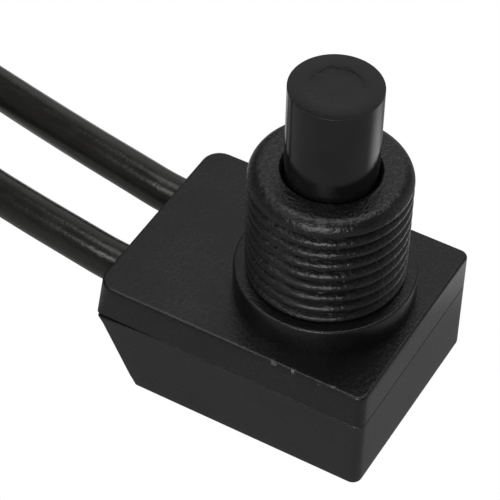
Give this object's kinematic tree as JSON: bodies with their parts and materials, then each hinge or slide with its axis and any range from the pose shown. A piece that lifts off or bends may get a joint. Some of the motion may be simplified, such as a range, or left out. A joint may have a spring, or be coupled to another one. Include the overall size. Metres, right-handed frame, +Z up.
{
  "type": "push button lamp switch",
  "caption": "Push on push off lamp switch: rectangular plastic body, threaded bushing, tall round button and insulated wire leads tied in a coil.",
  "frame": {"origin": "middle of the body's rectangular underside, on the surface it stands on; the free leads, their coil, tie and bare ends are not counted", "axes": "+Z up along the bushing and button, +X towards the plain end that the bushing is nearer to, the leads leave towards -X, Y across the body"},
  "size_m": [0.0735, 0.0341, 0.0251],
  "materials": {
    "housing_plastic": "satin black moulded plastic with a fine texture",
    "button_plastic": "semi-gloss black moulded plastic",
    "rotor_plastic": "natural nylon",
    "contact_brass": "stamped strip",
    "spring_steel": "drawn wire",
    "tinned_strands": "tinned copper strands",
    "lead_insulation": "black soft plastic insulation",
    "tie_plastic": "soft black band"
  },
  "bodies": {
    "housing": {"cover": "housing_plastic", "base": "housing_plastic", "fixed_contact_a": "contact_brass", "fixed_contact_b": "contact_brass", "conductor_a": "tinned_strands", "conductor_b": "tinned_strands", "lead_a": "lead_insulation", "lead_b": "lead_insulation", "lead_coil": "lead_insulation", "coil_tie": "tie_plastic", "bare_end_a": "tinned_strands", "bare_end_b": "tinned_strands", "return_spring": "spring_steel"},
    "button": {"push_button": "button_plastic"},
    "rotor": {"contact_rotor": "rotor_plastic", "contact_bridge": "contact_brass", "spring_washer": "spring_steel"}
  },
  "joints": [
    {"name": "button_press", "type": "slide", "parent": "housing", "child": "button", "axis": [0, 0, -1], "range_m": [0, 0.003], "stiffness_N_per_m": 600, "springref_m": -0.004, "deforming": ["return_spring"]},
    {"name": "rotor_turn", "type": "hinge", "parent": "housing", "child": "rotor", "pos_m": [0.00295, 0, 0.004], "axis": [0, 0, 1], "range_deg": [0, 45]}
  ],
  "couplings": [
    {"joint": "rotor_turn", "follows": "button_press", "rad_per_m": 261.7}
  ]
}
